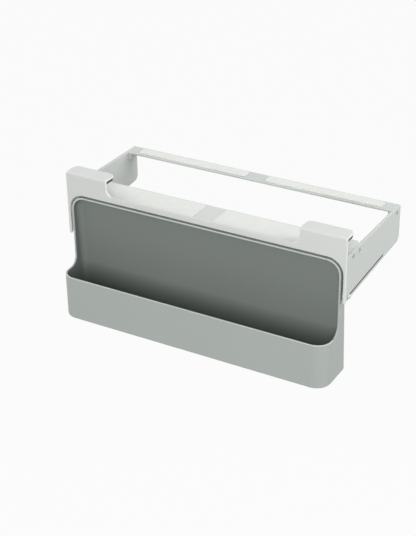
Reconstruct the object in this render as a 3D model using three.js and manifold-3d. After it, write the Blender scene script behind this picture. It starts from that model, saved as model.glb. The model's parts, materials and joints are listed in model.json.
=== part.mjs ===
// Under-shelf spice rack, in millimetres, +Z up.
// A moulded front frame hooks over a horizontal edge. Two side cheeks run back from it underneath,
// joined at the rear by a tie. A deep tray hangs between the cheeks on two pins that run in sloping
// slots: it drops down in front to be filled, and swings up and slides back in like a drawer.
// The origin is the middle of the gripped edge's lower front corner, on the back face of the frame's
// bar. X points to the right, Y to the back, and z = 0 is the underside that the rack is stuck to.

import * as THREE from 'three';
import { mergeVertices } from 'three/addons/utils/BufferGeometryUtils.js';
import Module from 'manifold-3d';

const wasm = await Module();
wasm.setup();

// Front frame
const edgeThickness = 16;
const frameWidth = 360;
const frameThickness = 3;
const hookWidth = 56;
const hookReach = 18.4;
const hookThickness = 3;
const hookCornerRadius = 7.5;
const hookBendRadius = 2.8;
const hookRootRadius = 8;
const barRise = 2.8;
const barDrop = 5;
const armDrop = 57.6;
const armEdgeRadius = 1.5;
const openingRadius = 19;
const ledgeReach = 40;
const ledgeThickness = 2.4;
const ledgeCornerRadius = 6;

// Side cheeks and the tie between them
const cheekThickness = 3.4;
const cheekLength = 144.8;
const cheekDrop = 55.7;
const cheekRearRadius = 8;
const slotSlope = THREE.MathUtils.degToRad(4);
const slotAboveEdge = 4.1;
const tieDepth = 20;

// Lugs and the countersunk screws that hold the cheeks to them
const lugThickness = 4;
const lugDrop = 7;
const lugSetback = 8;
const lugEndGap = 2;
const screwDiameter = 2.6;
const screwLength = 6.4;
const screwTipDiameter = 1.3;
const screwTipLength = 1.3;
const screwHeadDiameter = 5.6;
const screwHeadHeight = 1.6;
const screwPitch = 16;

// Pads
const hookPadThickness = 3.2;
const hookPadInset = 0.8;
const stickyPadThickness = 1;
const stickyPadLength = 150;
const stickyPadMargin = 3;

// Pivot pins and washers
const pinDiameter = 2;
const pinTipDiameter = 1.2;
const pinTipLength = 0.4;
const pinHeadDiameter = 5.4;
const pinHeadHeight = 2.4;
const pinHeadRim = 1.8;
const pinCrownDiameter = 4.2;
const pinCrownHeight = 2.25;
const pinSetback = 5.2;
const pinSocketDepth = 2.6;
const washerDiameter = 6.5;

// Tray
const traySideGap = 2.6;
const trayTopGap = 2.5;
const trayHeight = 145.2;
const trayReach = 36.4;
const trayFrontHeight = 55.2;
const trayWall = 2.2;
const trayLean = THREE.MathUtils.degToRad(3.5);
const trayBackToPin = 5.4;
const trayTopRadius = 17;
const trayFrontRadius = 18;
const trayRearRadius = 1;
const trayInnerRearRadius = 8;
const trayScoopRadius = 12;
const trayFootRadius = 1.5;

// Fits
const runningGap = 0.3;
const screwGap = 0.3;

// Worked out from the sizes above
const frameHalf = frameWidth / 2;
const openingHalf = frameHalf - cheekThickness;
const hookTop = edgeThickness + hookPadThickness + hookThickness;
const undersideTop = -stickyPadThickness;
const ledgeBottom = undersideTop - ledgeThickness;
const lugBottom = ledgeBottom - lugDrop;
const lugLength = ledgeReach - lugSetback - lugEndGap;
const slotHeight = pinDiameter + 2 * runningGap;
const pinHeight = -cheekDrop + pinSetback * Math.tan(slotSlope) + slotAboveEdge;
const trayHalf = openingHalf - traySideGap;
const trayTop = -barDrop - trayTopGap;
const trayBottom = trayTop - trayHeight;
const trayRim = trayBottom + trayFrontHeight;
const slideTravel = cheekLength - pinSetback - (trayTop - pinHeight) - runningGap;
const screwHeight = (ledgeBottom + lugBottom) / 2;
const frontScrewSetback = lugSetback + (lugLength - screwPitch) / 2;
const screwSetbacks = [frontScrewSetback, frontScrewSetback + screwPitch, cheekLength - tieDepth / 2];
const overlap = 1;
const curveSteps = 8;
const roundSteps = 24;

// Y of the tray's leaning back face at a height.
function trayBackAt(z) {
  return pinSetback + trayBackToPin + (pinHeight - z) * Math.tan(trayLean);
}

// A closed geometry as a solid that can be joined and cut.
function solidOf(geometry) {
  const bare = geometry.index ? geometry.toNonIndexed() : geometry.clone();
  bare.deleteAttribute('normal');
  bare.deleteAttribute('uv');
  const merged = mergeVertices(bare, 1e-4);
  const corners = merged.index.array;
  const triangles = [];
  for (let i = 0; i < corners.length; i += 3) {
    const [a, b, c] = [corners[i], corners[i + 1], corners[i + 2]];
    if (a !== b && b !== c && c !== a) triangles.push(a, b, c);
  }
  return new wasm.Manifold(new wasm.Mesh({
    numProp: 3,
    vertProperties: Float32Array.from(merged.attributes.position.array),
    triVerts: Uint32Array.from(triangles),
  }));
}

// A solid as a geometry for a mesh.
function geometryOf(solid) {
  const mesh = solid.getMesh();
  const geometry = new THREE.BufferGeometry();
  geometry.setAttribute('position', new THREE.BufferAttribute(mesh.vertProperties, 3));
  geometry.setIndex(new THREE.BufferAttribute(mesh.triVerts, 1));
  geometry.computeVertexNormals();
  return geometry;
}

// A closed outline through corners [u, v, radius], each corner rounded by its radius.
function outline(corners) {
  const shape = new THREE.Shape();
  const count = corners.length;
  corners.forEach(([u, v, radius = 0], i) => {
    const here = new THREE.Vector2(u, v);
    if (radius === 0) {
      if (i === 0) shape.moveTo(u, v);
      else shape.lineTo(u, v);
      return;
    }
    const before = new THREE.Vector2(...corners[(i + count - 1) % count]).sub(here).normalize();
    const after = new THREE.Vector2(...corners[(i + 1) % count]).sub(here).normalize();
    const halfAngle = Math.acos(before.dot(after)) / 2;
    const start = before.clone().multiplyScalar(radius / Math.tan(halfAngle)).add(here);
    const toCentre = before.clone().add(after).normalize();
    const centre = toCentre.multiplyScalar(radius / Math.sin(halfAngle)).add(here);
    const end = after.clone().multiplyScalar(radius / Math.tan(halfAngle)).add(here);
    const startAngle = Math.atan2(start.y - centre.y, start.x - centre.x);
    const endAngle = Math.atan2(end.y - centre.y, end.x - centre.x);
    if (i === 0) shape.moveTo(start.x, start.y);
    else shape.lineTo(start.x, start.y);
    shape.absarc(centre.x, centre.y, radius, startAngle, endAngle, before.cross(after) > 0);
  });
  shape.closePath();
  return shape;
}

function rectangle(u0, v0, u1, v1) {
  return outline([[u0, v0], [u1, v0], [u1, v1], [u0, v1]]);
}

// Extrusions of an outline along each axis. The outline is drawn in the other two axes, in order.
function extrude(shape, length, bevel = 0) {
  return new THREE.ExtrudeGeometry(shape, {
    depth: length - 2 * bevel,
    curveSegments: curveSteps,
    bevelEnabled: bevel > 0,
    bevelThickness: bevel,
    bevelSize: bevel,
    bevelOffset: -bevel,
    bevelSegments: 4,
  }).translate(0, 0, bevel);
}

function alongX(shape, x0, x1) {
  const axes = new THREE.Matrix4().makeBasis(
    new THREE.Vector3(0, 1, 0), new THREE.Vector3(0, 0, 1), new THREE.Vector3(1, 0, 0));
  return solidOf(extrude(shape, x1 - x0).applyMatrix4(axes).translate(x0, 0, 0));
}

function alongY(shape, y0, y1) {
  return solidOf(extrude(shape, y1 - y0).rotateX(Math.PI / 2).translate(0, y1, 0));
}

function alongZ(shape, z0, z1, bevel = 0) {
  return solidOf(extrude(shape, z1 - z0, bevel).translate(0, 0, z0));
}

// A piece turned round an axis along X, with its profile [radius, distance] running outwards.
function turned(profile, side) {
  const points = profile.map(([radius, distance]) => new THREE.Vector2(radius, distance));
  return solidOf(new THREE.LatheGeometry(points, roundSteps).rotateZ(-side * Math.PI / 2));
}

// A straight round hole along X, from one distance off the middle plane to another.
function hole(diameter, from, to, side) {
  const radius = diameter / 2;
  return turned([[0, from], [radius, from], [radius, to], [0, to]], side);
}

// The front frame's face: an inverted U whose two ends rise into hooks.
function frontFace() {
  const hookInner = frameHalf - hookWidth;
  return outline([
    [-openingHalf, -armDrop], [-openingHalf, -barDrop, openingRadius],
    [openingHalf, -barDrop, openingRadius], [openingHalf, -armDrop],
    [frameHalf, -armDrop], [frameHalf, hookTop],
    [hookInner, hookTop], [hookInner, barRise, hookRootRadius],
    [-hookInner, barRise, hookRootRadius], [-hookInner, hookTop],
    [-frameHalf, hookTop], [-frameHalf, -armDrop],
  ]);
}

// What is taken off an outer edge to round it: a corner square less its quarter round.
function edgeCutter(u, v, uInwards, vInwards, radius) {
  const centreU = u + uInwards * radius;
  const centreV = v + vInwards * radius;
  const shape = new THREE.Shape();
  shape.moveTo(u - uInwards * overlap, v - vInwards * overlap);
  shape.lineTo(centreU, v - vInwards * overlap);
  shape.lineTo(centreU, v);
  const from = Math.atan2(-vInwards, 0);
  const to = Math.atan2(0, -uInwards);
  shape.absarc(centreU, centreV, radius, from, to, uInwards * vInwards > 0);
  shape.lineTo(u - uInwards * overlap, centreV);
  shape.closePath();
  return shape;
}

function screwHoles(side) {
  return screwSetbacks.map((setback) => {
    const start = openingHalf - lugThickness - overlap;
    return hole(screwDiameter + 2 * screwGap, start, frameHalf + overlap, side)
      .translate([0, setback, screwHeight]);
  });
}

// A lug under the ledge or the tie, against the inside of a cheek.
function lug(side, y0, y1) {
  const inner = side * (openingHalf - lugThickness);
  const outer = side * openingHalf;
  const shape = rectangle(Math.min(inner, outer), y0, Math.max(inner, outer), y1);
  return alongZ(shape, lugBottom, undersideTop - ledgeThickness / 2);
}

function frontFrame() {
  let frame = alongY(frontFace(), -frameThickness, 0);
  const ledge = outline([
    [-openingHalf, -overlap], [openingHalf, -overlap],
    [openingHalf, ledgeReach, ledgeCornerRadius], [-openingHalf, ledgeReach, ledgeCornerRadius],
  ]);
  frame = frame.add(alongZ(ledge, ledgeBottom, undersideTop));
  for (const side of [-1, 1]) {
    const inner = side * (frameHalf - hookWidth);
    const outer = side * frameHalf;
    const hook = outline([
      [Math.min(inner, outer), -frameThickness], [Math.max(inner, outer), -frameThickness],
      [Math.max(inner, outer), hookReach, hookCornerRadius],
      [Math.min(inner, outer), hookReach, hookCornerRadius],
    ]);
    frame = frame.add(alongZ(hook, hookTop - hookThickness, hookTop));
    frame = frame.add(lug(side, lugSetback, lugSetback + lugLength));
    for (const cut of screwHoles(side).slice(0, 2)) frame = frame.subtract(cut);
    const armEdge = edgeCutter(outer, -frameThickness, -side, 1, armEdgeRadius);
    frame = frame.subtract(alongZ(armEdge, -armDrop - overlap, hookTop + overlap));
  }
  const bend = edgeCutter(-frameThickness, hookTop, 1, -1, hookBendRadius);
  return frame.subtract(alongX(bend, -frameHalf - overlap, frameHalf + overlap));
}

function rearTie() {
  let tie = alongZ(
    rectangle(-openingHalf, cheekLength - tieDepth, openingHalf, cheekLength), ledgeBottom, undersideTop);
  for (const side of [-1, 1]) {
    tie = tie.add(lug(side, cheekLength - tieDepth, cheekLength));
    tie = tie.subtract(screwHoles(side)[2]);
  }
  return tie;
}

// The slot is a round-ended gap that starts at the pin and slopes up towards the back.
function slot() {
  const radius = slotHeight / 2;
  const shape = outline([
    [-radius, -radius, radius], [slideTravel + radius, -radius, radius],
    [slideTravel + radius, radius, radius], [-radius, radius, radius],
  ]);
  return alongX(shape, -frameHalf - overlap, frameHalf + overlap)
    .rotate([THREE.MathUtils.radToDeg(slotSlope), 0, 0])
    .translate([0, pinSetback, pinHeight]);
}

function cheek(side) {
  const rise = cheekLength * Math.tan(slotSlope);
  const shape = outline([
    [0, -cheekDrop], [cheekLength, -cheekDrop + rise, cheekRearRadius],
    [cheekLength, undersideTop], [0, undersideTop],
  ]);
  const inner = side * openingHalf;
  const outer = side * frameHalf;
  let panel = alongX(shape, Math.min(inner, outer), Math.max(inner, outer)).subtract(slot());
  for (const cut of screwHoles(side)) panel = panel.subtract(cut);
  const sinkRadius = screwHeadDiameter / 2 + screwGap;
  const sinkDepth = screwHeadHeight + screwGap;
  for (const setback of screwSetbacks) {
    const sink = turned([
      [0, frameHalf - sinkDepth], [screwDiameter / 2 + screwGap, frameHalf - sinkDepth],
      [sinkRadius, frameHalf], [sinkRadius, frameHalf + overlap], [0, frameHalf + overlap],
    ], side);
    panel = panel.subtract(sink.translate([0, setback, screwHeight]));
  }
  return panel;
}

function screw(side) {
  const radius = screwDiameter / 2;
  const end = frameHalf - screwLength;
  return turned([
    [0, end], [screwTipDiameter / 2, end], [radius, end + screwTipLength],
    [radius, frameHalf - screwHeadHeight], [screwHeadDiameter / 2, frameHalf], [0, frameHalf],
  ], side);
}

function hookPad(side) {
  const inner = side * (frameHalf - hookWidth + hookPadInset);
  const outer = side * (frameHalf - hookPadInset);
  const radius = hookCornerRadius - hookPadInset;
  const back = hookReach - hookPadInset;
  const shape = outline([
    [Math.min(inner, outer), 0], [Math.max(inner, outer), 0],
    [Math.max(inner, outer), back, radius], [Math.min(inner, outer), back, radius],
  ]);
  return alongZ(shape, edgeThickness, edgeThickness + hookPadThickness);
}

// A sticky pad on top of the ledge or the tie, on one side of the middle.
function stickyPad(side, y0, y1) {
  const middle = side * openingHalf / 2;
  const shape = rectangle(
    middle - stickyPadLength / 2, y0 + stickyPadMargin, middle + stickyPadLength / 2, y1 - stickyPadMargin);
  return alongZ(shape, undersideTop, 0);
}

// The pin goes through the cheek's slot and the washer into a blind socket in the tray.
function pin(side) {
  const radius = pinDiameter / 2;
  const headRadius = pinHeadDiameter / 2;
  const end = trayHalf - pinSocketDepth + runningGap;
  const headStart = frameHalf + runningGap;
  return turned([
    [0, end], [pinTipDiameter / 2, end], [radius, end + pinTipLength], [radius, headStart],
    [headRadius, headStart], [headRadius, headStart + pinHeadRim],
    [pinCrownDiameter / 2, headStart + pinCrownHeight], [0, headStart + pinHeadHeight],
  ], side);
}

function washer(side) {
  const bore = pinDiameter / 2 + runningGap;
  const radius = washerDiameter / 2;
  const inner = trayHalf + runningGap;
  const outer = openingHalf - runningGap;
  return turned([[bore, inner], [radius, inner], [radius, outer], [bore, outer], [bore, inner]], side);
}

// A block whose back is the tray's leaning back face, moved in by an inset, with rounded rear corners.
function leaningBlock(inset, radius) {
  const half = trayHalf - inset;
  const shape = outline([
    [-half, -2 * trayReach], [half, -2 * trayReach], [half, 0, radius], [-half, 0, radius],
  ]);
  return alongZ(shape, -trayHeight, trayHeight)
    .rotate([THREE.MathUtils.radToDeg(trayLean), 0, 0])
    .translate([0, trayBackAt(pinHeight) - inset / Math.cos(trayLean), pinHeight]);
}

// The tray seen from above: straight at the back, rounded at the front.
function trayPlan(inset) {
  const half = trayHalf - inset;
  const front = -trayReach + inset;
  const radius = trayFrontRadius - inset;
  const back = 2 * trayReach;
  return outline([[-half, front, radius], [half, front, radius], [half, back], [-half, back]]);
}

// The tray seen from the front, with rounded top corners.
function trayFace(inset) {
  const half = trayHalf - inset;
  const radius = trayTopRadius - inset;
  const top = trayTop - inset;
  const low = trayBottom - overlap;
  return outline([[-half, low], [half, low], [half, top, radius], [-half, top, radius]]);
}

// The tray seen from the side: the low front, the scoop up to the side walls' front edge, the back.
function traySide() {
  const far = 2 * trayReach;
  return outline([
    [far, trayBottom], [-trayReach, trayBottom], [-trayReach, trayRim],
    [-frameThickness, trayRim, trayScoopRadius], [-frameThickness, trayTop], [far, trayTop],
  ]);
}

function tray() {
  const width = [-trayHalf - overlap, trayHalf + overlap];
  const depth = [-2 * trayReach, 2 * trayReach];
  const above = trayTop + 2 * trayFootRadius;
  let shell = alongX(traySide(), ...width)
    .intersect(alongZ(trayPlan(0), trayBottom, above, trayFootRadius))
    .intersect(alongY(trayFace(0), ...depth))
    .intersect(leaningBlock(0, trayRearRadius));
  const hollow = alongZ(trayPlan(trayWall), trayBottom + trayWall, above, trayFootRadius)
    .intersect(alongY(trayFace(trayWall), ...depth))
    .intersect(leaningBlock(trayWall, trayInnerRearRadius));
  shell = shell.subtract(hollow);
  for (const side of [-1, 1]) {
    const socket = hole(slotHeight, trayHalf - pinSocketDepth, trayHalf + overlap, side);
    shell = shell.subtract(socket.translate([0, pinSetback, pinHeight]));
  }
  return shell;
}

// Finishes
const frameFinish = new THREE.MeshStandardMaterial({ color: 0xd2d5d2, roughness: 0.5, metalness: 0 });
const trayFinish = new THREE.MeshStandardMaterial({ color: 0xa4aaa6, roughness: 0.55, metalness: 0 });
const padFinish = new THREE.MeshStandardMaterial({ color: 0x3a3c3c, roughness: 0.9, metalness: 0 });
const stickyFinish = new THREE.MeshStandardMaterial({ color: 0xe8e6df, roughness: 0.85, metalness: 0 });
const steelFinish = new THREE.MeshStandardMaterial({ color: 0xb9bcbe, roughness: 0.35, metalness: 1 });
const pinFinish = new THREE.MeshStandardMaterial({ color: 0xcfd3d0, roughness: 0.45, metalness: 0 });
const washerFinish = new THREE.MeshStandardMaterial({ color: 0xdfe1dd, roughness: 0.5, metalness: 0 });

function piece(name, solid, finish) {
  const mesh = new THREE.Mesh(geometryOf(solid), finish);
  mesh.name = name;
  return mesh;
}

const rack = new THREE.Group();
rack.add(piece('front_frame', frontFrame(), frameFinish));
rack.add(piece('rear_tie', rearTie(), frameFinish));
rack.add(piece('tray', tray(), trayFinish));

for (const [hand, side] of [['left', -1], ['right', 1]]) {
  rack.add(piece(`${hand}_cheek`, cheek(side), frameFinish));
  rack.add(piece(`${hand}_hook_pad`, hookPad(side), padFinish));
  const frontPad = stickyPad(side, 0, ledgeReach);
  const rearPad = stickyPad(side, cheekLength - tieDepth, cheekLength);
  rack.add(piece(`${hand}_front_sticky_pad`, frontPad, stickyFinish));
  rack.add(piece(`${hand}_rear_sticky_pad`, rearPad, stickyFinish));

  screwSetbacks.forEach((setback, i) => {
    const mesh = piece(`${hand}_cheek_screw_${i + 1}`, screw(side), steelFinish);
    mesh.position.set(0, setback, screwHeight);
    rack.add(mesh);
  });

  const pivot = new THREE.Group();
  pivot.position.set(0, pinSetback, pinHeight);
  pivot.add(piece(`${hand}_pivot_pin`, pin(side), pinFinish));
  pivot.add(piece(`${hand}_pin_washer`, washer(side), washerFinish));
  rack.add(pivot);
}

export default rack;
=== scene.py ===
# %% [markdown]
# # An under-shelf spice rack
#
# The real rack is a light grey moulded frame that hooks over a front edge, two slotted cheeks that run
# back from it, and a deep grey-green tray. The tray hangs between the cheeks on two pins, drops down to
# be filled, and swings up and slides back in like a drawer.
#
# The packed solids give every size and place. The visible pieces are modelled again here with rounded
# edges, soft inner corners and moulded finishes, each in the same place as the solid it stands for.

# %% Load the solids
import json
import math

import bmesh
import bpy
from mathutils import Euler, Matrix, Vector


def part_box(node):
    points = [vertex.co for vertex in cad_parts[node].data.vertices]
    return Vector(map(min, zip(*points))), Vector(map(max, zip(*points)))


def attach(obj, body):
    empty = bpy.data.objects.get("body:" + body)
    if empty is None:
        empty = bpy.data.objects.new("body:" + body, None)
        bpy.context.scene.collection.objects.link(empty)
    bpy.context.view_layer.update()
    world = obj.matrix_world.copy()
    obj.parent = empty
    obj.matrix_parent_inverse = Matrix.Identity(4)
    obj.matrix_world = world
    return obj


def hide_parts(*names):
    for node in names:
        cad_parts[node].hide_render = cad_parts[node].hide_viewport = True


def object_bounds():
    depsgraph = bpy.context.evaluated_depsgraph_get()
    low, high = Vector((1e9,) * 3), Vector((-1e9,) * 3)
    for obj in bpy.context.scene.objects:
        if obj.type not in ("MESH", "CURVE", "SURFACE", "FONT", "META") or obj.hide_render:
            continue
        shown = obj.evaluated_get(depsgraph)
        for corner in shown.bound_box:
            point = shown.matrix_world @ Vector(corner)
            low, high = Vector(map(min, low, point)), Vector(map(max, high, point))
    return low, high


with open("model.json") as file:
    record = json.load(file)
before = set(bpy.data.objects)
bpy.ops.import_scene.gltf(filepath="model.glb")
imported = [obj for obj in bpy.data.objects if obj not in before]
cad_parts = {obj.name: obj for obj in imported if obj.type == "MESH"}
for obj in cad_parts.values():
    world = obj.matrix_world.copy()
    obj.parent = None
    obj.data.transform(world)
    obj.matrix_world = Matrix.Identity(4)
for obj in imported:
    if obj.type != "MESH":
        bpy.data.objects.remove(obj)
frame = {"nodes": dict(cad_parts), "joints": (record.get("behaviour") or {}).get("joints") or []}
cad_low, cad_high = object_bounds()
mm = 0.001
print("solids:", len(frame["nodes"]), "box:", [round(x, 4) for x in cad_high - cad_low])

# %% [markdown]
# ## The camera
#
# The camera stands to the right and above, and is fitted to the photograph: its place, its turn and its
# lens come from the straight edges of the frame. It is the first thing made.

# %% Camera
CAMERA_PLACE = Vector((0.6661, -1.1304, 0.6498))
CAMERA_AZIMUTH = math.radians(30.175)
CAMERA_PITCH = math.radians(28.439)
CAMERA_ROLL = math.radians(0.788)
CAMERA_LENS = 88.085


def add_camera():
    data = bpy.data.cameras.new("photo_camera")
    data.sensor_width = 36
    data.lens = CAMERA_LENS
    data.clip_start = 0.05
    data.clip_end = 50
    camera = bpy.data.objects.new("photo_camera", data)
    bpy.context.scene.collection.objects.link(camera)
    turn = Euler((math.pi / 2 - CAMERA_PITCH, 0, CAMERA_AZIMUTH)).to_matrix()
    turn = turn @ Matrix.Rotation(-CAMERA_ROLL, 3, "Z")
    camera.matrix_world = Matrix.Translation(CAMERA_PLACE) @ turn.to_4x4()
    bpy.context.scene.camera = camera


add_camera()
print("camera at", [round(x, 3) for x in CAMERA_PLACE])

# %% [markdown]
# ## Shader arithmetic
#
# A finish is a small network of nodes. Two helpers keep it readable. A `Wire` is one output socket, and
# sums written with it add Math nodes. A `Finish` holds the network of one material, or of the world, and
# its `node` method makes any other node from its type, its settings and what goes into its sockets.

# %% Sums of sockets


class Wire:
    """An output socket that can be used in sums."""

    def __init__(self, finish, socket):
        self.finish = finish
        self.socket = socket

    def sum(self, operation, first, second):
        return self.finish.node("Math", {"operation": operation}, {0: first, 1: second}, "Value")

    def __add__(self, other):
        return self.sum("ADD", self, other)

    def __radd__(self, other):
        return self.sum("ADD", other, self)

    def __sub__(self, other):
        return self.sum("SUBTRACT", self, other)

    def __mul__(self, other):
        return self.sum("MULTIPLY", self, other)


print("made:", Wire.__doc__)

# %% A network of nodes


class Finish:
    """The network of a material or of the world, built by naming its nodes one after another."""

    def __init__(self, owner):
        owner.use_nodes = True
        self.owner = owner
        self.tree = owner.node_tree
        self.tree.nodes.clear()

    def node(self, kind, settings, inputs, output=None):
        made = self.tree.nodes.new("ShaderNode" + kind)
        for name, value in settings.items():
            if name == "stops":
                ramp = made.color_ramp.elements
                while len(ramp) < len(value):
                    ramp.new(0.5)
                for stop, (position, level) in zip(ramp, value):
                    stop.position = position
                    stop.color = (level, level, level, 1)
            else:
                setattr(made, name, value)
        for name, value in inputs.items():
            socket = made.inputs[name]
            if isinstance(value, Wire):
                self.tree.links.new(value.socket, socket)
            else:
                socket.default_value = value
        return None if output is None else Wire(self, made.outputs[output])

    def place(self):
        return self.node("TexCoord", {}, {}, "Object")

    def noise(self, scale, detail, roughness=0.5):
        inputs = {"Vector": self.place(), "Scale": scale, "Detail": detail, "Roughness": roughness}
        return self.node("TexNoise", {}, inputs, "Fac")

    def ramp(self, value, stops):
        return self.node("ValToRGB", {"stops": stops}, {"Fac": value}, "Color")

    def between(self, dark, light, factor):
        """A colour between two, by a factor. A Mix node has its colours at 6, 7 and 2."""
        inputs = {0: factor, 6: (*dark, 1), 7: (*light, 1)}
        return self.node("Mix", {"data_type": "RGBA"}, inputs, 2)

    def bump(self, height, depth, strength):
        inputs = {"Height": height, "Distance": depth, "Strength": strength}
        return self.node("Bump", {}, inputs, "Normal")

    def surface(self, inputs):
        """Ends the network in a Principled shader and returns the material."""
        return self.ended(self.node("BsdfPrincipled", {}, inputs, "BSDF"))

    def ended(self, shader, end="OutputMaterial"):
        self.node(end, {}, {"Surface": shader})
        return self.owner


def new_finish(name):
    return Finish(bpy.data.materials.new(name))


print("made:", Finish.__doc__)

# %% [markdown]
# ## Moulded plastic
#
# Satin plastic is never one flat colour. It has a fine spark-eroded grain that breaks up its gloss, slow
# clouds of slightly lighter and darker colour from the way it flowed, and faint rubs. Its edges are paler,
# partly from handling and partly as a painted highlight. The grain is far too small to model, so it is a
# bump, and the rest varies the colour and the roughness. Each mesh says where its edges are, in an
# attribute that the finish reads.

# %% Plastic finish


def linear(red, green, blue):
    """A colour given in 8-bit display values, as the linear values that a shader takes."""
    def one(value):
        share = value / 255
        return share / 12.92 if share <= 0.04045 else ((share + 0.055) / 1.055) ** 2.4
    return one(red), one(green), one(blue)


def shade(colour, share):
    """A colour made darker or lighter by a share."""
    return tuple(channel * share for channel in colour)


def moulded_plastic(name, colour, roughness, grain_depth, wear_and_highlight):
    finish = new_finish(name)
    clouds = finish.noise(scale=9, detail=3)
    flecks = finish.noise(scale=420, detail=2)
    grain = finish.noise(scale=2600, detail=3, roughness=0.6)
    rubs = finish.ramp(finish.noise(scale=60, detail=6, roughness=0.7), [(0.55, 0.0), (0.8, 1.0)])
    edges = finish.node("Attribute", {"attribute_name": "rubbed"}, {}, "Fac")
    # The edge term paints the edges paler: partly wear, partly a painted highlight.
    paleness = clouds * 0.17 + flecks * 0.08 + edges * wear_and_highlight
    return finish.surface({
        "Base Color": finish.between(shade(colour, 0.94), shade(colour, 1.42), paleness),
        "Roughness": roughness - 0.06 + clouds * 0.06 + grain * 0.06 + rubs * 0.05 - edges * 0.1,
        "Normal": finish.bump(grain + flecks * 0.5, depth=grain_depth, strength=0.35),
        "IOR": 1.49,
        "Specular IOR Level": 0.45,
    })


FRAME_COLOUR = linear(211, 214, 211)
# The cheeks and the tie are a darker copy of the frame's plastic: painted shade, for the shade under the
# shelf.
PANEL_PAINTED_SHADE_COLOUR = linear(200, 204, 201)
TRAY_COLOUR = linear(168, 174, 170)
# The inside's darker colour is painted shade, for the shade that falls into the bin.
TRAY_INSIDE_PAINTED_SHADE_COLOUR = linear(119, 125, 121)
# Painted shade for the walls of the slots.
SLOT_PAINTED_SHADE_COLOUR = linear(92, 96, 94)
FINE_GRAIN = 0.06 * mm
COARSE_GRAIN = 0.12 * mm
frame_plastic = moulded_plastic("frame_plastic", FRAME_COLOUR, 0.54, FINE_GRAIN, wear_and_highlight=0.3)
panel_plastic = moulded_plastic("panel_plastic", PANEL_PAINTED_SHADE_COLOUR, 0.56, FINE_GRAIN, wear_and_highlight=0.3)
tray_plastic = moulded_plastic("tray_plastic", TRAY_COLOUR, 0.52, FINE_GRAIN, wear_and_highlight=0.8)
tray_inside = moulded_plastic("tray_inside", TRAY_INSIDE_PAINTED_SHADE_COLOUR, 0.66, COARSE_GRAIN, wear_and_highlight=0.3)
slot_plastic = moulded_plastic("slot_plastic", SLOT_PAINTED_SHADE_COLOUR, 0.6, FINE_GRAIN, wear_and_highlight=0.3)
print("plastics:", [material.name for material in bpy.data.materials if "plastic" in material.name])

# %% [markdown]
# ## Rubber, foam, steel, enamel and nylon
#
# The small pieces have finishes of their own: dull dark rubber under the hooks, white sticky foam with
# open pores, plated steel with fine brushing, the pins' smooth enamel and milky nylon. Plain colours
# would make them all look like the plastic, so each has a grain of its own size and gloss.

# %% Finishes of the small pieces


def soft_rubber():
    finish = new_finish("grip_rubber")
    grain = finish.noise(scale=1500, detail=4, roughness=0.65)
    dust = finish.ramp(finish.noise(scale=90, detail=5), [(0.5, 0.0), (0.85, 1.0)])
    # The rubber's dark tone is partly its own and partly painted shade, for the gap under each hook.
    dark = linear(46, 48, 48)
    return finish.surface({
        "Base Color": finish.between(dark, linear(84, 86, 85), dust * 0.4 + grain * 0.2),
        "Roughness": 0.72 + grain * 0.18,
        "Normal": finish.bump(grain, depth=0.12 * mm, strength=0.6),
        "Specular IOR Level": 0.35,
    })


def sticky_foam():
    finish = new_finish("sticky_foam")
    cells = finish.node("TexVoronoi", {}, {"Vector": finish.place(), "Scale": 1700}, "Distance")
    pores = finish.ramp(cells, [(0.1, 0.0), (0.5, 1.0)])
    clouds = finish.noise(scale=80, detail=3)
    dark = linear(204, 206, 203)
    return finish.surface({
        "Base Color": finish.between(dark, linear(234, 236, 232), pores * 0.6 + clouds * 0.4),
        "Roughness": 0.78 + pores * 0.12,
        "Normal": finish.bump(pores, depth=0.08 * mm, strength=0.6),
    })


def plated_steel():
    finish = new_finish("screw_steel")
    brushing = finish.noise(scale=2200, detail=4, roughness=0.7)
    tarnish = finish.noise(scale=160, detail=3)
    return finish.surface({
        "Base Color": finish.between(linear(168, 170, 172), linear(205, 207, 208), tarnish),
        "Roughness": 0.24 + brushing * 0.16,
        "Normal": finish.bump(brushing, depth=0.02 * mm, strength=0.4),
        "Metallic": 1.0,
    })


def pin_enamel():
    finish = new_finish("pin_enamel")
    peel = finish.noise(scale=900, detail=2)
    clouds = finish.noise(scale=70, detail=3)
    colour = linear(206, 210, 207)
    return finish.surface({
        "Base Color": finish.between(shade(colour, 0.95), shade(colour, 1.04), clouds),
        "Roughness": 0.3 + peel * 0.08,
        "Normal": finish.bump(peel, depth=0.03 * mm, strength=0.4),
        "Coat Weight": 0.2,
    })


def milky_nylon():
    finish = new_finish("washer_nylon")
    grain = finish.noise(scale=1800, detail=3)
    colour = linear(222, 224, 220)
    return finish.surface({
        "Base Color": finish.between(shade(colour, 0.95), shade(colour, 1.03), grain),
        "Roughness": 0.4 + grain * 0.1,
        "Normal": finish.bump(grain, depth=0.03 * mm, strength=0.4),
    })


grip_rubber = soft_rubber()
pad_foam = sticky_foam()
screw_steel = plated_steel()
pin_finish = pin_enamel()
nylon = milky_nylon()
print("finishes:", len(bpy.data.materials))

# %% [markdown]
# ## The tray
#
# The tray is one thin-walled moulding: a deep bin below, and above it a shallow back panel with walls
# around it. It could be a box with a second box cut out of it, but then its inner corners would be hard
# to round. Instead its side view is extruded across into a block, the tall edges are rounded, the faces
# of the mouth are deleted, and what is left is given a wall. The inner and outer corners and the rim are
# rounded last, each with its own radius.
#
# The mesh operators are wrapped in small functions, each of them where it is first needed. A face or an
# edge is picked by where it is.

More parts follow.
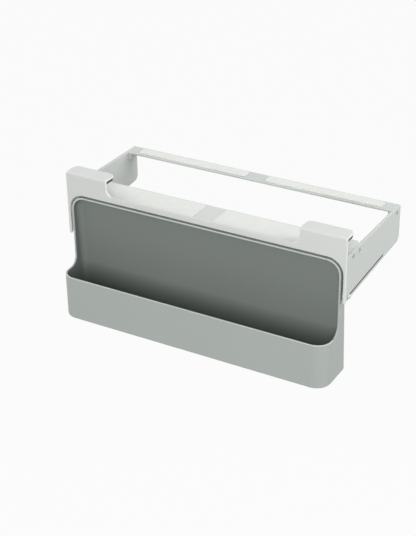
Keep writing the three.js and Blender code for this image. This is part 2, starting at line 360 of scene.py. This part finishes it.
# %% Tray sizes
TRAY_WALL = 2.2 * mm
TRAY_FRONT_HEIGHT = 55.2 * mm
TRAY_LEAN = math.radians(3.5)
TRAY_SCOOP_RADIUS = 12 * mm
TRAY_FRONT_RADIUS = 18 * mm
TRAY_TOP_RADIUS = 17 * mm
TRAY_BACK_FILLET = 7 * mm
TRAY_FLOOR_FILLET = 3 * mm
TRAY_FOOT_RADIUS = 2 * mm
TRAY_RIM_RADIUS = 0.7 * mm
PIN_SOCKET_RADIUS = 1.3 * mm
PIN_SOCKET_DEPTH = 2.6 * mm
OUTSIDE, INSIDE = 0, 1

tray_low, tray_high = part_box("tray")
tray_half = tray_high.x
tray_rim = tray_low.z + TRAY_FRONT_HEIGHT
frame_low, frame_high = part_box("front_frame")
tray_lip = frame_low.y
pivot = next(Vector(joint["pos_m"]) for joint in frame["joints"] if joint["name"] == "tray_swing")
print("tray", [round(x, 4) for x in tray_high - tray_low], "rim at", round(tray_rim, 4))

# %% Tray side view
TINY = 1e-6


def new_moulding():
    """An empty mesh with a layer for where its edges are paler: partly wear, partly a painted highlight."""
    bm = bmesh.new()
    bm.verts.layers.float.new("rubbed")
    return bm


def rounded_face(bm, corners, steps):
    """A flat face through corners (place, radius)."""
    verts = [bm.verts.new(place) for place, radius in corners]
    bm.faces.new(verts)
    for size in sorted({radius for place, radius in corners if radius > 0}):
        picked = [v for v, (place, radius) in zip(verts, corners) if radius == size]
        bmesh.ops.bevel(bm, geom=picked, offset=size, segments=steps, profile=0.5,
                        affect="VERTICES", material=-1)


tray_mesh = new_moulding()
back_top = tray_high.y - (tray_high.z - tray_low.z) * math.tan(TRAY_LEAN)
side_view = [
    (tray_high.y, tray_low.z, 0), (tray_low.y, tray_low.z, 0), (tray_low.y, tray_rim, 0),
    (tray_lip, tray_rim, TRAY_SCOOP_RADIUS), (tray_lip, tray_high.z, 0), (back_top, tray_high.z, 0),
]
rounded_face(tray_mesh, [((-tray_half, y, z), radius) for y, z, radius in side_view], steps=10)
print("tray side view:", len(tray_mesh.verts), "corners")

# %% Tray block


def once(parts):
    """Parts of a mesh in a fixed order, each of them once."""
    return list(dict.fromkeys(parts))


def whole(faces):
    """Faces with all their edges and corners."""
    edges = [e for face in faces for e in face.edges]
    verts = [v for face in faces for v in face.verts]
    return once([*faces, *edges, *verts])


def extrude(bm, faces, offset):
    """Pulls faces along an offset. A face that was part of a solid doesn't stay behind inside it."""
    made = bmesh.ops.extrude_face_region(bm, geom=whole(faces))["geom"]
    moved = [part for part in made if isinstance(part, bmesh.types.BMVert)]
    bmesh.ops.translate(bm, verts=moved, vec=offset)


def outwards(bm):
    """Turns every face of a closed mesh outwards."""
    bmesh.ops.recalc_face_normals(bm, faces=bm.faces[:])
    bm.normal_update()


def round_edges(bm, edges, radius, steps):
    """Rounds edges and returns the new faces."""
    return bmesh.ops.bevel(bm, geom=list(edges), offset=radius, segments=steps, profile=0.5,
                           affect="EDGES", material=-1)["faces"]


def side_edges(bm, axis, level):
    """Edges of the two sides that lie at one level of an axis."""
    return [e for e in bm.edges
            if all(abs(getattr(v.co, axis) - level) < TINY for v in e.verts)
            and abs(e.verts[0].co.x - e.verts[1].co.x) < TINY]


extrude(tray_mesh, tray_mesh.faces[:], (2 * tray_half, 0, 0))
outwards(tray_mesh)
round_edges(tray_mesh, side_edges(tray_mesh, "y", tray_low.y), TRAY_FRONT_RADIUS, steps=14)
round_edges(tray_mesh, side_edges(tray_mesh, "z", tray_high.z), TRAY_TOP_RADIUS, steps=14)
outwards(tray_mesh)
print("tray block:", len(tray_mesh.faces), "faces")

# %% [markdown]
# ### From block to shell
#
# The faces of the mouth are deleted, and solidify gives the rest a wall that grows inwards. Cutting a
# second block out of the first would need every inner radius worked out by hand. The inside of the tray
# has a coarser finish than the outside, and a darker colour that is painted shade for the shade inside the
# bin, so the new faces get a second material. The mouth is one curved surface, and a face belongs to it
# when all its corners lie on it.

# %% Tray shell
NEAR = 10 * TINY
NEAR_ARC = 50 * TINY


def at_mouth(place):
    """True on the surface of the mouth: the lip's plane, the scoop and the front wall's rim."""
    scoop_y = tray_lip - TRAY_SCOOP_RADIUS
    scoop_z = tray_rim + TRAY_SCOOP_RADIUS
    if place.z > scoop_z - TINY:
        return abs(place.y - tray_lip) < NEAR
    if place.y < scoop_y + TINY:
        return abs(place.z - tray_rim) < NEAR
    off = math.hypot(place.y - scoop_y, place.z - scoop_z) - TRAY_SCOOP_RADIUS
    return abs(off) < NEAR_ARC


def whole_at_mouth(face):
    return all(at_mouth(v.co) for v in face.verts)


mouth = [f for f in tray_mesh.faces if whole_at_mouth(f)]
bmesh.ops.delete(tray_mesh, geom=mouth, context="FACES")
tray_mesh.normal_update()
outer_faces = set(tray_mesh.faces)
bmesh.ops.solidify(tray_mesh, geom=tray_mesh.faces[:], thickness=TRAY_WALL)
tray_mesh.normal_update()
# The inside faces take the darker finish, whose colour is painted shade.
for face in tray_mesh.faces:
    if face not in outer_faces and not whole_at_mouth(face):
        face.material_index = INSIDE
print("tray shell:", len(outer_faces), "outer faces of", len(tray_mesh.faces))

# %% [markdown]
# ### Soft corners
#
# A moulding has no sharp inner corners, because plastic neither flows into them nor lets go of them.
# Subdividing the mesh would soften the flat walls as well, so each corner is rounded by a bevel with its
# own radius, the widest first. The rim is marked, and the finish shows it as a paler line: partly wear and
# partly a painted highlight.

# %% Tray corners and rim
FACING = 0.9


def faces_facing(bm, direction, inside):
    """Faces that face a direction and whose middle passes a test."""
    bm.normal_update()
    way = Vector(direction)
    return [f for f in bm.faces if f.normal.dot(way) > FACING and inside(f.calc_center_median())]


def largest(faces):
    return max(faces, key=lambda face: face.calc_area())


def stands_out(vert):
    """True for a vertex that lies above its neighbours."""
    return sum((e.other_vert(vert).co - vert.co).dot(vert.normal) for e in vert.link_edges) < 0


def mark_worn_and_highlit(bm, faces):
    """Marks the crests of rounded outer edges as paler: partly wear, partly a painted highlight."""
    bm.normal_update()
    rubbed = bm.verts.layers.float["rubbed"]
    rounding = set(faces)
    for vert in {v for face in faces for v in face.verts}:
        if rounding.issuperset(vert.link_faces) and stands_out(vert):
            vert[rubbed] = 1


def round_tray(bm):
    inner_back = largest(faces_facing(bm, (0, -1, 0), lambda m: m.y > 0))
    floor_height = tray_low.z + 2 * TRAY_WALL
    back_loop = [e for e in inner_back.edges if max(v.co.z for v in e.verts) > floor_height]
    round_edges(bm, back_loop, TRAY_BACK_FILLET, steps=8)
    inner_floor = largest(faces_facing(bm, (0, 0, 1), lambda m: m.z < floor_height))
    round_edges(bm, inner_floor.edges, TRAY_FLOOR_FILLET, steps=5)
    outer_back = largest(faces_facing(bm, (0, 1, 0), lambda m: m.y > 0))
    outer_floor = largest(faces_facing(bm, (0, 0, -1), lambda m: m.z < tray_low.z + TINY))
    foot = once([*outer_back.edges, *outer_floor.edges])
    round_edges(bm, foot, TRAY_FOOT_RADIUS, steps=4)
    rim_faces = {f for f in bm.faces if whole_at_mouth(f)}
    rim = [e for e in bm.edges if len(rim_faces.intersection(e.link_faces)) == 1]
    rounding = round_edges(bm, rim, TRAY_RIM_RADIUS, steps=4)
    for face in rounding:
        face.material_index = OUTSIDE
    mark_worn_and_highlit(bm, rounding + [f for f in bm.faces if whole_at_mouth(f)])


round_tray(tray_mesh)
print("tray with round corners:", len(tray_mesh.faces), "faces")

# %% [markdown]
# ### Pin sockets
#
# Each pin ends in a small blind socket in the tray's side, behind a washer. A boolean with a cylinder
# would cut it too, but leaves long thin triangles. Here a square window is cut into the flat wall and
# inset, the inner border is moved out to a circle, and the round face inside it is pushed in.

# %% Pin sockets
HOLE_STEPS = 24
WINDOW_SHARE = 1.1


def cut(bm, faces, place, direction):
    """Cuts faces along a plane, so that a part of them can be picked."""
    bmesh.ops.bisect_plane(bm, geom=whole(faces), dist=TINY, plane_co=place, plane_no=direction)


def round_pane(bm, place, radius, x, way):
    """Cuts a round face out of the faces at x that face a way along X."""
    def wall():
        return faces_facing(bm, (way, 0, 0), lambda middle: abs(middle.x - x) < TINY)

    half = WINDOW_SHARE * radius
    for axis in (Vector((0, 1, 0)), Vector((0, 0, 1))):
        for offset in (-half, half):
            cut(bm, wall(), place + offset * axis, axis)
    pane = next(f for f in wall() if (f.calc_center_median() - place).yz.length < half / 2)
    bmesh.ops.bisect_edges(bm, edges=pane.edges[:], cuts=HOLE_STEPS // 4 - 1)
    bmesh.ops.inset_individual(bm, faces=[pane], thickness=half - radius)
    for vert in pane.verts:
        vert.co.yz = place.yz + (vert.co - place).yz.normalized() * radius
    return pane


for side in (-1, 1):
    socket = round_pane(tray_mesh, pivot, PIN_SOCKET_RADIUS, side * tray_half, side)
    extrude(tray_mesh, [socket], (-side * PIN_SOCKET_DEPTH, 0, 0))
print("tray with sockets:", len(tray_mesh.faces), "faces")

# %% [markdown]
# ### From mesh to object
#
# Every piece is handed over in the same way. All its faces are shaded smooth, its hard edges are marked,
# and weighted normals keep the flat faces flat up to their roundings, which needs far fewer faces than
# finer bevels would. Then it is hung on the body it rides on, and the solids it stands for are hidden.

# %% Finished tray
CREASE = math.radians(40)


def sharp_edges(bm, angle):
    bm.normal_update()
    return [e for e in bm.edges if e.is_manifold and e.calc_face_angle() > angle]


def finish_piece(name, bm, body, nodes, slot, *materials):
    """Makes the mesh an object that rides on a body and stands for CAD nodes."""
    for face in bm.faces:
        face.smooth = True
    for edge in sharp_edges(bm, CREASE):
        edge.smooth = False
    mesh = bpy.data.meshes.new(name)
    bm.to_mesh(mesh)
    bm.free()
    for material in materials:
        mesh.materials.append(material)
    piece = bpy.data.objects.new(name, mesh)
    bpy.context.scene.collection.objects.link(piece)
    even = piece.modifiers.new("even_shading", "WEIGHTED_NORMAL")
    even.keep_sharp = True
    even.weight = 100
    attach(piece, body)
    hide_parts(*nodes)
    print(name, len(mesh.polygons), "faces")
    return piece


finish_piece("tray_moulding", tray_mesh, "tray", ["tray"], "tray_grey", tray_plastic, tray_inside)

# %% [markdown]
# ## The front frame
#
# The frame is one moulding too: an inverted U with a hook at each end of its bar, a ledge behind the bar,
# and under the ledge a lug at each end for the cheek's screws. Its front view is extruded into a plate.
# Then parts of the plate's back are cut off as faces of their own and pulled out to make the hooks and
# the ledge. Boxes joined by booleans would be quicker to place, but this way the whole frame stays one
# clean skin, whose edges can all be rounded at the end. The lugs are drilled last, like the sockets.

# %% Frame sizes
HOOK_WIDTH = 56 * mm
HOOK_CORNER_RADIUS = 7.5 * mm
HOOK_ROOT_RADIUS = 8 * mm
HOOK_BEND_RADIUS = 2.8 * mm
PAD_INSET = 0.8 * mm
BAR_RISE = 2.8 * mm
BAR_DROP = 5 * mm
OPENING_RADIUS = 19 * mm
LEDGE_THICKNESS = 2.4 * mm
LEDGE_CORNER_RADIUS = 6 * mm
LUG_THICKNESS = 4 * mm
LUG_DROP = 7 * mm
LUG_SETBACK = 8 * mm
LUG_END_GAP = 2 * mm
LUG_HOLE_RADIUS = 1.6 * mm
FRAME_EDGE_RADIUS = 1 * mm
LEDGE_EDGE_RADIUS = 0.3 * mm

opening_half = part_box("right_cheek")[0].x
hook_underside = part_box("right_hook_pad")[1].z
hook_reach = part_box("right_hook_pad")[1].y + PAD_INSET
ledge_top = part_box("right_front_sticky_pad")[0].z
ledge_bottom = ledge_top - LEDGE_THICKNESS
screw_nodes = [name for name in frame["nodes"] if "_cheek_screw_" in name]
screw_middles = [sum(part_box(name), Vector()) / 2 for name in screw_nodes]
print("frame opening", round(2 * opening_half, 4), "hooks reach", round(hook_reach, 4))

# %% Frame plate and hooks


def back_faces(bm):
    """Faces on the back of the front plate."""
    return faces_facing(bm, (0, 1, 0), lambda middle: abs(middle.y) < TINY)


def upright_edges(bm, depth):
    """Edges along Z at a depth."""
    return [e for e in bm.edges
            if all(abs(v.co.y - depth) < TINY for v in e.verts)
            and (e.verts[0].co - e.verts[1].co).xy.length < TINY]


hook_inner = frame_high.x - HOOK_WIDTH
right_half = [
    (opening_half, -BAR_DROP, OPENING_RADIUS), (opening_half, frame_low.z, 0),
    (frame_high.x, frame_low.z, 0), (frame_high.x, frame_high.z, 0),
    (hook_inner, frame_high.z, 0), (hook_inner, BAR_RISE, HOOK_ROOT_RADIUS),
]
left_half = [(-x, z, radius) for x, z, radius in reversed(right_half)]
front_view = [((x, frame_low.y, z), radius) for x, z, radius in right_half + left_half]

frame_mesh = new_moulding()
rounded_face(frame_mesh, front_view, steps=12)
extrude(frame_mesh, frame_mesh.faces[:], (0, -frame_low.y, 0))
outwards(frame_mesh)
cut(frame_mesh, back_faces(frame_mesh), (0, 0, hook_underside), (0, 0, 1))
roots = [f for f in back_faces(frame_mesh) if f.calc_center_median().z > hook_underside]
extrude(frame_mesh, roots, (0, hook_reach, 0))
round_edges(frame_mesh, upright_edges(frame_mesh, hook_reach), HOOK_CORNER_RADIUS, steps=10)
print("plate with hooks:", len(frame_mesh.faces), "faces")

# %% Frame ledge and lugs
FLAT = math.radians(0.5)


def pull_ledge(bm):
    """Pulls the ledge out of the plate's back."""
    for height in (ledge_top, ledge_bottom):
        cut(bm, back_faces(bm), (0, 0, height), (0, 0, 1))
    for side in (-1, 1):
        cut(bm, back_faces(bm), (side * opening_half, 0, 0), (1, 0, 0))
    strip = [f for f in back_faces(bm)
             if ledge_bottom < f.calc_center_median().z < ledge_top
             and abs(f.calc_center_median().x) < opening_half]
    extrude(bm, strip, (0, frame_high.y, 0))
    round_edges(bm, upright_edges(bm, frame_high.y), LEDGE_CORNER_RADIUS, steps=6)


def pull_lugs(bm):
    """Pulls a lug down from each end of the ledge."""
    lug_inner = opening_half - LUG_THICKNESS
    lug_end = frame_high.y - LUG_END_GAP

    def under_ledge():
        return faces_facing(bm, (0, 0, -1), lambda m: abs(m.z - ledge_bottom) < TINY and m.y > 0)

    for side in (-1, 1):
        cut(bm, under_ledge(), (side * lug_inner, 0, 0), (1, 0, 0))
    for depth in (LUG_SETBACK, lug_end):
        cut(bm, under_ledge(), (0, depth, 0), (0, 1, 0))
    feet = [f for f in under_ledge()
            if abs(f.calc_center_median().x) > lug_inner
            and LUG_SETBACK < f.calc_center_median().y < lug_end]
    extrude(bm, feet, (0, 0, -LUG_DROP))


def join_flats(bm):
    """Joins neighbouring faces that lie in one plane."""
    bmesh.ops.dissolve_limit(bm, angle_limit=FLAT, verts=bm.verts[:], edges=bm.edges[:])


pull_ledge(frame_mesh)
pull_lugs(frame_mesh)
join_flats(frame_mesh)
print("frame with ledge and lugs:", len(frame_mesh.faces), "faces")

# %% Finished frame
SHARP = math.radians(30)


def on_ledge(edge):
    """True for the edges of the ledge and its lugs."""
    return any(v.co.y > TINY for v in edge.verts) and all(v.co.z < ledge_top + TINY for v in edge.verts)


def round_outer_edges(bm, radius, chosen):
    """Rounds the outer edges that pass a test, and marks them paler: partly wear, partly a painted highlight.
    """
    edges = [e for e in sharp_edges(bm, SHARP) if e.is_convex and chosen(e)]
    mark_worn_and_highlit(bm, round_edges(bm, edges, radius, steps=4))


def drill_lugs(bm):
    """Holes through the lugs, for the screws that lie under the ledge."""
    for place in screw_middles:
        if place.y < frame_high.y:
            side = math.copysign(1, place.x)
            outer = round_pane(bm, place, LUG_HOLE_RADIUS, side * opening_half, side)
            inner = round_pane(bm, place, LUG_HOLE_RADIUS, side * (opening_half - LUG_THICKNESS), -side)
            rims = [*outer.edges, *inner.edges]
            bmesh.ops.delete(bm, geom=[outer, inner], context="FACES_ONLY")
            bmesh.ops.bridge_loops(bm, edges=rims)


bend = [e for e in frame_mesh.edges
        if all(abs(v.co.y - frame_low.y) < TINY and abs(v.co.z - frame_high.z) < TINY for v in e.verts)]
round_edges(frame_mesh, bend, HOOK_BEND_RADIUS, steps=8)
round_outer_edges(frame_mesh, LEDGE_EDGE_RADIUS, on_ledge)
round_outer_edges(frame_mesh, FRAME_EDGE_RADIUS, lambda edge: not on_ledge(edge))
drill_lugs(frame_mesh)
finish_piece("front_frame_moulding", frame_mesh, "bracket", ["front_frame"], "frame_grey", frame_plastic)

# %% [markdown]
# ## The cheeks and the rear tie
# These are flat panels whose shape the solids already have: the slots, the countersunk holes and the
# tie's lugs. Drawing them again would add nothing, so a copy of each solid is merged, its flat faces are
# joined, and only its long edges are rounded. The edges round the screw holes stay sharp, as drilled
# edges are. The panels are a shade darker than the frame, which is painted shade for the shade under the
# shelf. The walls of the slots are darker still, as painted shade for the shade inside the narrow slots,
# and are found by the path of the pins.

# %% Cheeks and tie
CHEEK_EDGE_RADIUS = 0.45 * mm
HOLE_MARGIN = 4 * mm
SLOT_RADIUS = 1.3 * mm

slide = next(joint for joint in frame["joints"] if joint["name"] == "carriage_slide")
pin_path = Vector(slide["axis"]) * slide["range_m"][1]


def by_screw(edge):
    """True for the edges round a screw hole."""
    middle = (edge.verts[0].co + edge.verts[1].co) / 2
    return any((middle - screw).yz.length < HOLE_MARGIN for screw in screw_middles)


def in_slot(face):
    """True on the walls of a slot, which lie as far from the pin's path as the slot's radius."""
    off = face.calc_center_median() - pivot
    off.x = 0
    share = off.dot(pin_path) / pin_path.length_squared
    return (off - pin_path * min(max(share, 0), 1)).length < SLOT_RADIUS + NEAR


def softened_panel(node):
    """A copy of a solid, with rounded edges."""
    bm = new_moulding()
    bm.from_mesh(frame["nodes"][node].data)
    bmesh.ops.remove_doubles(bm, verts=bm.verts[:], dist=TINY)
    join_flats(bm)
    edges = [e for e in sharp_edges(bm, SHARP) if not by_screw(e)]
    mark_worn_and_highlit(bm, round_edges(bm, edges, CHEEK_EDGE_RADIUS, steps=3))
    # The slot walls take the dark finish: painted shade for the shade inside the narrow slots.
    slot_walls = [f for f in bm.faces if in_slot(f)]
    for face in slot_walls:
        face.material_index = INSIDE
    finishes = [panel_plastic, slot_plastic] if slot_walls else [panel_plastic]
    finish_piece(node + "_panel", bm, "bracket", [node], "frame_grey", *finishes)


for panel in ("left_cheek", "right_cheek", "rear_tie"):
    softened_panel(panel)

# %% [markdown]
# ## The pads
#
# A dark rubber pad under each hook grips the top of the edge, and white foam pads stick the ledge and the
# tie up underneath. The rubber's dark tone is partly its own and partly painted shade for the gap under
# each hook. A cube with a bevel would have one radius all round. These are flat slabs whose plan is
# rounded first, so that the edges can have a radius of their own. The foam is cut from tape, and its edges
# are hardly rounded.

# %% Pads
RUBBER_EDGE_RADIUS = 0.7 * mm
FOAM_CORNER_RADIUS = 3 * mm
FOAM_EDGE_RADIUS = 0.2 * mm


def pad_slab(node, front_radius, rear_radius, edge_radius):
    """A slab in the place of a pad's solid."""
    low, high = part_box(node)
    bm = bmesh.new()
    plan = [
        (low.x, low.y, front_radius), (high.x, low.y, front_radius),
        (high.x, high.y, rear_radius), (low.x, high.y, rear_radius),
    ]
    rounded_face(bm, [((x, y, low.z), radius) for x, y, radius in plan], steps=8)
    extrude(bm, bm.faces[:], (0, 0, high.z - low.z))
    outwards(bm)
    round_edges(bm, sharp_edges(bm, SHARP), edge_radius, steps=3)
    return bm


for hand in ("left", "right"):
    node = hand + "_hook_pad"
    slab = pad_slab(node, 0, HOOK_CORNER_RADIUS - PAD_INSET, RUBBER_EDGE_RADIUS)
    finish_piece(node + "_rubber", slab, "bracket", [node], "grip_rubber", grip_rubber)
    for row in ("front", "rear"):
        node = f"{hand}_{row}_sticky_pad"
        slab = pad_slab(node, FOAM_CORNER_RADIUS, FOAM_CORNER_RADIUS, FOAM_EDGE_RADIUS)
        foam = finish_piece(node + "_foam", slab, "bracket", [node], "sticky_foam", pad_foam)

# %% [markdown]
# ## Screws, pins and washers
#
# These are turned pieces, so each is a half section spun round its axis. Cylinders set on each other
# would look alike but leave faces inside. The screw's head gets a cross recess: its flat top is cut by
# straight lines, and the cross that they leave is pushed in. The pin's head is a low dome.

# %% Turned pieces
SPIN_STEPS = 40


def spun(profile, place, side):
    """A half section (radius, distance outwards) spun round an axis along X through a place."""
    bm = bmesh.new()
    verts = [bm.verts.new((side * along, place.y, place.z + radius)) for radius, along in profile]
    for first, second in zip(verts, verts[1:]):
        bm.edges.new((first, second))
    bmesh.ops.spin(bm, geom=bm.verts[:] + bm.edges[:], cent=(0, place.y, place.z), axis=(1, 0, 0),
                   angle=2 * math.pi, steps=SPIN_STEPS, use_merge=True)
    bmesh.ops.remove_doubles(bm, verts=bm.verts[:], dist=TINY)
    outwards(bm)
    return bm


print("turned in", SPIN_STEPS, "steps of", 360 / SPIN_STEPS, "degrees")

# %% Screws
SCREW_RADIUS = 1.3 * mm
SCREW_TIP_RADIUS = 0.65 * mm
SCREW_TIP_LENGTH = 1.3 * mm
SCREW_HEAD_HEIGHT = 1.6 * mm
CROSS_REACH = 1.6 * mm
CROSS_HALF = 0.35 * mm
CROSS_DEPTH = 0.9 * mm


def cross_recess(bm, place, side, face_x):
    """Pushes a cross into the flat face of a screw's head."""
    def top():
        return faces_facing(bm, (side, 0, 0), lambda m: abs(m.x - face_x) < TINY)

    def within(reach):
        """Faces of the two crossing bars, as far out as a reach."""
        found = []
        for face in top():
            off = face.calc_center_median() - place
            across, along = sorted((abs(off.y), abs(off.z)))
            if across < CROSS_HALF and along < reach:
                found.append(face)
        return found

    axes = (Vector((0, 1, 0)), Vector((0, 0, 1)))
    for axis in axes:
        for offset in (-CROSS_HALF, CROSS_HALF):
            cut(bm, top(), place + offset * axis, axis)
    for axis in axes:
        for offset in (-CROSS_REACH, CROSS_REACH):
            cut(bm, within(2 * CROSS_REACH), place + offset * axis, axis)
    extrude(bm, within(CROSS_REACH), (-side * CROSS_DEPTH, 0, 0))


def make_screw(node):
    low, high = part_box(node)
    place = (low + high) / 2
    side = math.copysign(1, place.x)
    tip, crown = sorted((abs(low.x), abs(high.x)))
    head_radius = (high.z - low.z) / 2
    bm = spun([
        (0, tip), (SCREW_TIP_RADIUS, tip), (SCREW_RADIUS, tip + SCREW_TIP_LENGTH),
        (SCREW_RADIUS, crown - SCREW_HEAD_HEIGHT), (head_radius, crown),
    ], place, side)
    rim = [e for e in bm.edges if e.is_boundary]
    bmesh.ops.holes_fill(bm, edges=rim, sides=0)
    outwards(bm)
    cross_recess(bm, place, side, side * crown)
    finish_piece(node + "_turned", bm, "bracket", [node], "screw_steel", screw_steel)


for node in screw_nodes:
    make_screw(node)

# %% Pins and washers
PIN_RADIUS = 1 * mm
PIN_TIP_RADIUS = 0.6 * mm
PIN_TIP_LENGTH = 0.4 * mm
PIN_HEAD_HEIGHT = 2.4 * mm
PIN_HEAD_RIM = 1.7 * mm
WASHER_BORE = 1.3 * mm
WASHER_EDGE_RADIUS = 0.25 * mm
DOME_STEPS = 8


def make_pin(node):
    low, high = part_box(node)
    side = math.copysign(1, low.x)
    end, crown = sorted((abs(low.x), abs(high.x)))
    head_radius = (high.z - low.z) / 2
    head_start = crown - PIN_HEAD_HEIGHT
    dome_height = PIN_HEAD_HEIGHT - PIN_HEAD_RIM
    angles = [math.pi / 2 * step / DOME_STEPS for step in range(DOME_STEPS + 1)]
    dome = [(head_radius * math.cos(a), crown - dome_height + dome_height * math.sin(a)) for a in angles]
    shank = [(0, end), (PIN_TIP_RADIUS, end), (PIN_RADIUS, end + PIN_TIP_LENGTH), (PIN_RADIUS, head_start)]
    bm = spun(shank + [(head_radius, head_start)] + dome, pivot, side)
    finish_piece(node + "_turned", bm, "carriage", [node], "pin_coated", pin_finish)


def make_washer(node):
    low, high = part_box(node)
    side = math.copysign(1, low.x)
    inner, outer = sorted((abs(low.x), abs(high.x)))
    radius = (high.z - low.z) / 2
    section = [(WASHER_BORE, inner), (radius, inner), (radius, outer), (WASHER_BORE, outer)]
    bm = spun(section + section[:1], pivot, side)
    round_edges(bm, sharp_edges(bm, SHARP), WASHER_EDGE_RADIUS, steps=3)
    finish_piece(node + "_ring", bm, "carriage", [node], "washer_nylon", nylon)


for hand in ("left", "right"):
    make_pin(hand + "_pivot_pin")
    make_washer(hand + "_pin_washer")

# %% [markdown]
# ## Light, floor and background
#
# The rack hangs in the air, so the floor lies well below it. The light is soft: a sky that is dim all
# round, a large key lamp low in front, a lamp above at each side, and one behind. A bare white sky would
# be simpler, but it leaves no shading from which an eye reads a shape. The sky and the floor are white to
# the camera and to reflections only, and the floor still takes a shadow.

# %% Sky and floor
FLOOR_HEIGHT = -1.6
FLOOR_HALF = 30
FLOOR_GREY = 0.45
FLOOR_WHITE_SHARE = 0.95
SKY_STRENGTH = 0.4
SKY_SEEN = 0.965


def seen_directly(finish):
    """1 for rays from the camera, from reflections and through glass, and 0 for light."""
    camera = finish.node("LightPath", {}, {}, "Is Camera Ray")
    mirror = finish.node("LightPath", {}, {}, "Is Glossy Ray")
    glass = finish.node("LightPath", {}, {}, "Is Transmission Ray")
    return camera + mirror + glass


def add_world():
    sky = Finish(bpy.data.worlds.new("studio"))
    strength = SKY_STRENGTH + seen_directly(sky) * (SKY_SEEN - SKY_STRENGTH)
    white = sky.node("Background", {}, {"Color": (1, 1, 1, 1), "Strength": strength}, "Background")
    bpy.context.scene.world = sky.ended(white, "OutputWorld")


def add_floor():
    bm = bmesh.new()
    bmesh.ops.create_grid(bm, x_segments=1, y_segments=1, size=FLOOR_HALF)
    bmesh.ops.translate(bm, verts=bm.verts[:], vec=(0, 0, FLOOR_HEIGHT))
    mesh = bpy.data.meshes.new("floor")
    bm.to_mesh(mesh)
    bm.free()
    floor = bpy.data.objects.new("floor", mesh)
    bpy.context.scene.collection.objects.link(floor)
    finish = new_finish("floor_white")
    matt = finish.node("BsdfDiffuse", {}, {"Color": (FLOOR_GREY, FLOOR_GREY, FLOOR_GREY, 1)}, "BSDF")
    white = finish.node("Emission", {}, {"Color": (1, 1, 1, 1), "Strength": 1.0}, "Emission")
    share = seen_directly(finish) * FLOOR_WHITE_SHARE
    mesh.materials.append(finish.ended(finish.node("MixShader", {}, {0: share, 1: matt, 2: white}, "Shader")))


add_world()
add_floor()
print("sky", SKY_STRENGTH, "and floor at", FLOOR_HEIGHT)

# %% Lamps


def add_lamp(name, place, size, power):
    """A large square lamp that faces the middle of the rack."""
    data = bpy.data.lights.new(name, "AREA")
    data.shape = "SQUARE"
    data.size = size
    data.energy = power
    lamp = bpy.data.objects.new(name, data)
    bpy.context.scene.collection.objects.link(lamp)
    way = (cad_low + cad_high) / 2 - Vector(place)
    turn = way.to_track_quat("-Z", "Y").to_matrix().to_4x4()
    lamp.matrix_world = Matrix.Translation(place) @ turn


add_lamp("key_lamp", (0.55, -1.95, 0.55), size=1.4, power=31)
add_lamp("right_lamp", (1.75, 0.55, 0.95), size=1.5, power=24)
add_lamp("left_lamp", (-1.75, 0.2, 0.95), size=1.5, power=18)
add_lamp("rear_lamp", (0.3, 2.0, 0.35), size=1.2, power=14)
bpy.context.scene.view_settings.view_transform = "Standard"
print("lamps:", {lamp.name: lamp.energy for lamp in bpy.data.lights})

# %% [markdown]
